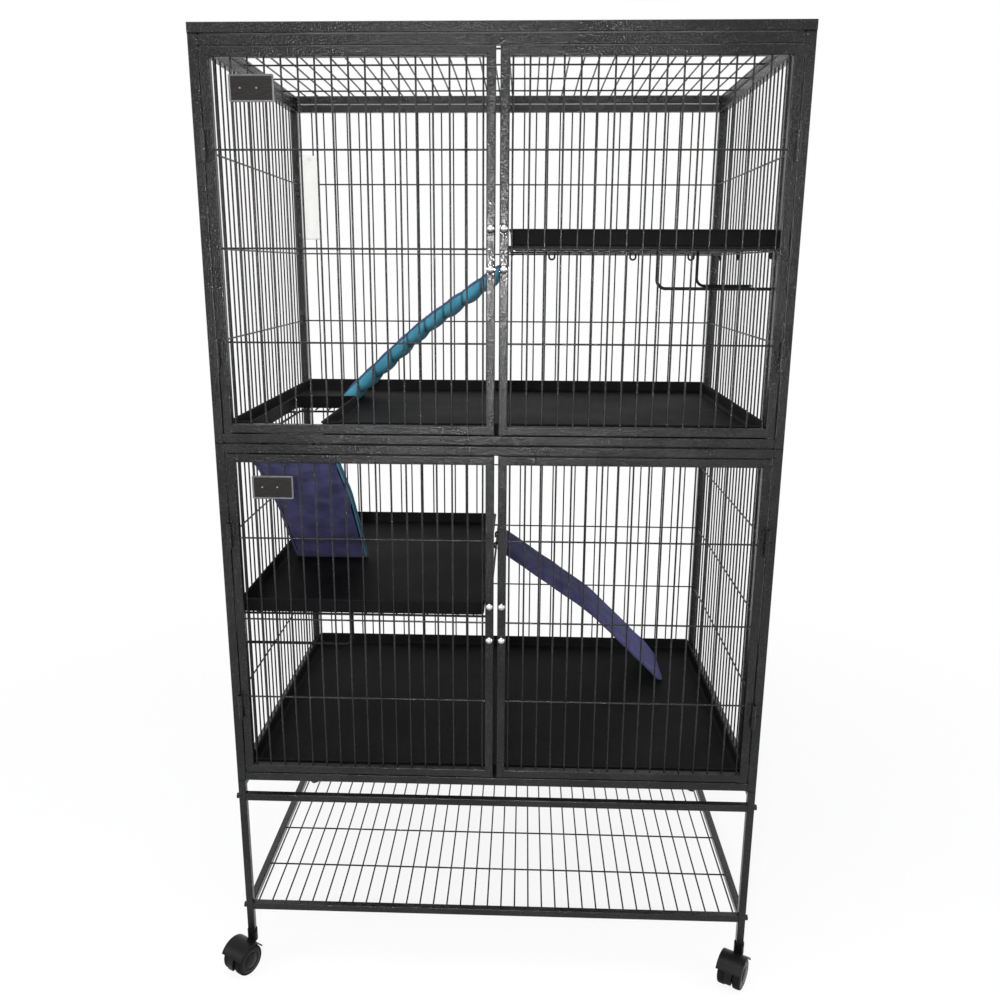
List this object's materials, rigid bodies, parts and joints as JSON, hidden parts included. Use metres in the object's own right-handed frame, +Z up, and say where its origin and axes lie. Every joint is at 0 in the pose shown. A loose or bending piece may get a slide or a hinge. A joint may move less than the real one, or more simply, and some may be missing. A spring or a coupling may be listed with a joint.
{
  "type": "pet cage",
  "caption": "Tall wheeled wire cage for small pets, with barred double doors, floor trays, half shelves, padded ramps and a storage rack below.",
  "frame": {"origin": "on the floor under the middle of the cage frame", "axes": "+Z up, the doors face -Y, +X to the right as seen from the front"},
  "size_m": [1.0044, 0.7399, 1.615],
  "materials": {
    "frame_paint": "dark grey hammered powder coat with a silvery fleck",
    "bolt_metal": "dark grey coated bolt heads",
    "cap_plastic": "black plastic",
    "caster_plastic": "black moulded plastic",
    "axle_steel": "plain steel",
    "wire_paint": "dark grey powder coat on steel wire",
    "tray_plastic": "black grained plastic",
    "bright_metal": "bright plated metal",
    "plate_metal": "dark printed sheet, left bare",
    "tag_paper": "white card, left bare",
    "cover_fabric": "quilted woven cloth, violet above and teal below"
  },
  "bodies": {
    "cage": {"stand_end_left": "frame_paint", "stand_end_right": "frame_paint", "stand_rail_front": "frame_paint", "stand_rail_rear": "frame_paint", "storage_rack": "frame_paint", "stand_bolts": "bolt_metal", "caster_sockets": "cap_plastic", "lower_side_left": "frame_paint", "lower_side_right": "frame_paint", "lower_back": "frame_paint", "lower_sill": "frame_paint", "lower_header": "frame_paint", "lower_floor_grid": "wire_paint", "lower_tray": "tray_plastic", "lower_shelf_frame": "wire_paint", "lower_shelf_tray": "tray_plastic", "lower_hinge_pins": "frame_paint", "upper_side_left": "frame_paint", "upper_side_right": "frame_paint", "upper_back": "frame_paint", "upper_sill": "frame_paint", "upper_header": "frame_paint", "upper_floor_grid": "wire_paint", "upper_tray": "tray_plastic", "upper_shelf_frame": "wire_paint", "upper_shelf_tray": "tray_plastic", "upper_hinge_pins": "frame_paint", "top_panel": "frame_paint", "post_caps": "cap_plastic", "hang_tag": "tag_paper"},
    "lower_door_left": {"lower_door_left": "frame_paint", "lower_latch_studs": "bright_metal", "lower_name_plate": "plate_metal"},
    "lower_door_right": {"lower_door_right": "frame_paint"},
    "lower_hook_top": {"lower_hook_top": "bright_metal"},
    "lower_hook_bottom": {"lower_hook_bottom": "bright_metal"},
    "upper_door_left": {"upper_door_left": "frame_paint", "upper_latch_studs": "bright_metal", "upper_name_plate": "plate_metal"},
    "upper_door_right": {"upper_door_right": "frame_paint"},
    "upper_hook_top": {"upper_hook_top": "bright_metal"},
    "upper_hook_bottom": {"upper_hook_bottom": "bright_metal"},
    "caster_fl_swivel": {"caster_fl_housing": "caster_plastic"},
    "caster_fl_wheel_set": {"caster_fl_axle": "axle_steel", "caster_fl_wheels": "caster_plastic"},
    "caster_fr_swivel": {"caster_fr_housing": "caster_plastic"},
    "caster_fr_wheel_set": {"caster_fr_axle": "axle_steel", "caster_fr_wheels": "caster_plastic"},
    "caster_rl_swivel": {"caster_rl_housing": "caster_plastic"},
    "caster_rl_wheel_set": {"caster_rl_axle": "axle_steel", "caster_rl_wheels": "caster_plastic"},
    "caster_rr_swivel": {"caster_rr_housing": "caster_plastic"},
    "caster_rr_wheel_set": {"caster_rr_axle": "axle_steel", "caster_rr_wheels": "caster_plastic"},
    "ramp_upper": {"ramp_upper_frame": "wire_paint", "ramp_upper_cover": "cover_fabric"},
    "ramp_middle": {"ramp_middle_frame": "wire_paint", "ramp_middle_cover": "cover_fabric"},
    "ramp_lower": {"ramp_lower_frame": "wire_paint", "ramp_lower_cover": "cover_fabric"}
  },
  "joints": [
    {"name": "lower_door_left_hinge", "type": "hinge", "parent": "cage", "child": "lower_door_left", "pos_m": [-0.4415, -0.3221, 0.682], "axis": [0, 0, -1], "range_deg": [0, 170]},
    {"name": "lower_door_right_hinge", "type": "hinge", "parent": "cage", "child": "lower_door_right", "pos_m": [0.4415, -0.3221, 0.682], "axis": [0, 0, 1], "range_deg": [0, 170]},
    {"name": "lower_hook_top_turn", "type": "hinge", "parent": "lower_door_right", "child": "lower_hook_top", "pos_m": [0.0102, -0.31, 0.7165], "axis": [0, 1, 0], "range_deg": [0, 90]},
    {"name": "lower_hook_bottom_turn", "type": "hinge", "parent": "lower_door_right", "child": "lower_hook_bottom", "pos_m": [0.0102, -0.31, 0.6565], "axis": [0, 1, 0], "range_deg": [0, 90]},
    {"name": "upper_door_left_hinge", "type": "hinge", "parent": "cage", "child": "upper_door_left", "pos_m": [-0.4415, -0.3221, 1.291], "axis": [0, 0, -1], "range_deg": [0, 170]},
    {"name": "upper_door_right_hinge", "type": "hinge", "parent": "cage", "child": "upper_door_right", "pos_m": [0.4415, -0.3221, 1.291], "axis": [0, 0, 1], "range_deg": [0, 170]},
    {"name": "upper_hook_top_turn", "type": "hinge", "parent": "upper_door_right", "child": "upper_hook_top", "pos_m": [0.0102, -0.31, 1.3255], "axis": [0, 1, 0], "range_deg": [0, 90]},
    {"name": "upper_hook_bottom_turn", "type": "hinge", "parent": "upper_door_right", "child": "upper_hook_bottom", "pos_m": [0.0102, -0.31, 1.2655], "axis": [0, 1, 0], "range_deg": [0, 90]},
    {"name": "caster_fl_turn", "type": "hinge", "parent": "cage", "child": "caster_fl_swivel", "pos_m": [-0.4507, -0.311, 0.06], "axis": [0, 0, 1], "continuous": true},
    {"name": "caster_fl_roll", "type": "hinge", "parent": "caster_fl_swivel", "child": "caster_fl_wheel_set", "pos_m": [-0.46461, -0.33414, 0.028], "axis": [0.8572, -0.515, 0], "continuous": true},
    {"name": "caster_fr_turn", "type": "hinge", "parent": "cage", "child": "caster_fr_swivel", "pos_m": [0.4507, -0.311, 0.06], "axis": [0, 0, 1], "continuous": true},
    {"name": "caster_fr_roll", "type": "hinge", "parent": "caster_fr_swivel", "child": "caster_fr_wheel_set", "pos_m": [0.43679, -0.33414, 0.028], "axis": [0.8572, -0.515, 0], "continuous": true},
    {"name": "caster_rl_turn", "type": "hinge", "parent": "cage", "child": "caster_rl_swivel", "pos_m": [-0.4507, 0.311, 0.06], "axis": [0, 0, 1], "continuous": true},
    {"name": "caster_rl_roll", "type": "hinge", "parent": "caster_rl_swivel", "child": "caster_rl_wheel_set", "pos_m": [-0.46657, 0.33284, 0.028], "axis": [-0.809, -0.5878, 0], "continuous": true},
    {"name": "caster_rr_turn", "type": "hinge", "parent": "cage", "child": "caster_rr_swivel", "pos_m": [0.4507, 0.311, 0.06], "axis": [0, 0, 1], "continuous": true},
    {"name": "caster_rr_roll", "type": "hinge", "parent": "caster_rr_swivel", "child": "caster_rr_wheel_set", "pos_m": [0.46657, 0.33284, 0.028], "axis": [-0.809, 0.5878, 0], "continuous": true},
    {"name": "ramp_upper_lift", "type": "hinge", "parent": "cage", "child": "ramp_upper", "pos_m": [0.012, 0.139, 1.2991], "axis": [0, 1, 0], "range_deg": [0, 35]},
    {"name": "ramp_lower_lift", "type": "hinge", "parent": "cage", "child": "ramp_lower", "pos_m": [-0.012, 0.179, 0.6901], "axis": [0, -1, 0], "range_deg": [0, 20]},
    {"name": "ramp_middle_lift", "type": "hinge", "parent": "cage", "child": "ramp_middle", "pos_m": [-0.342, -0.2945, 0.9939], "axis": [1, 0, 0], "range_deg": [0, 18]}
  ]
}
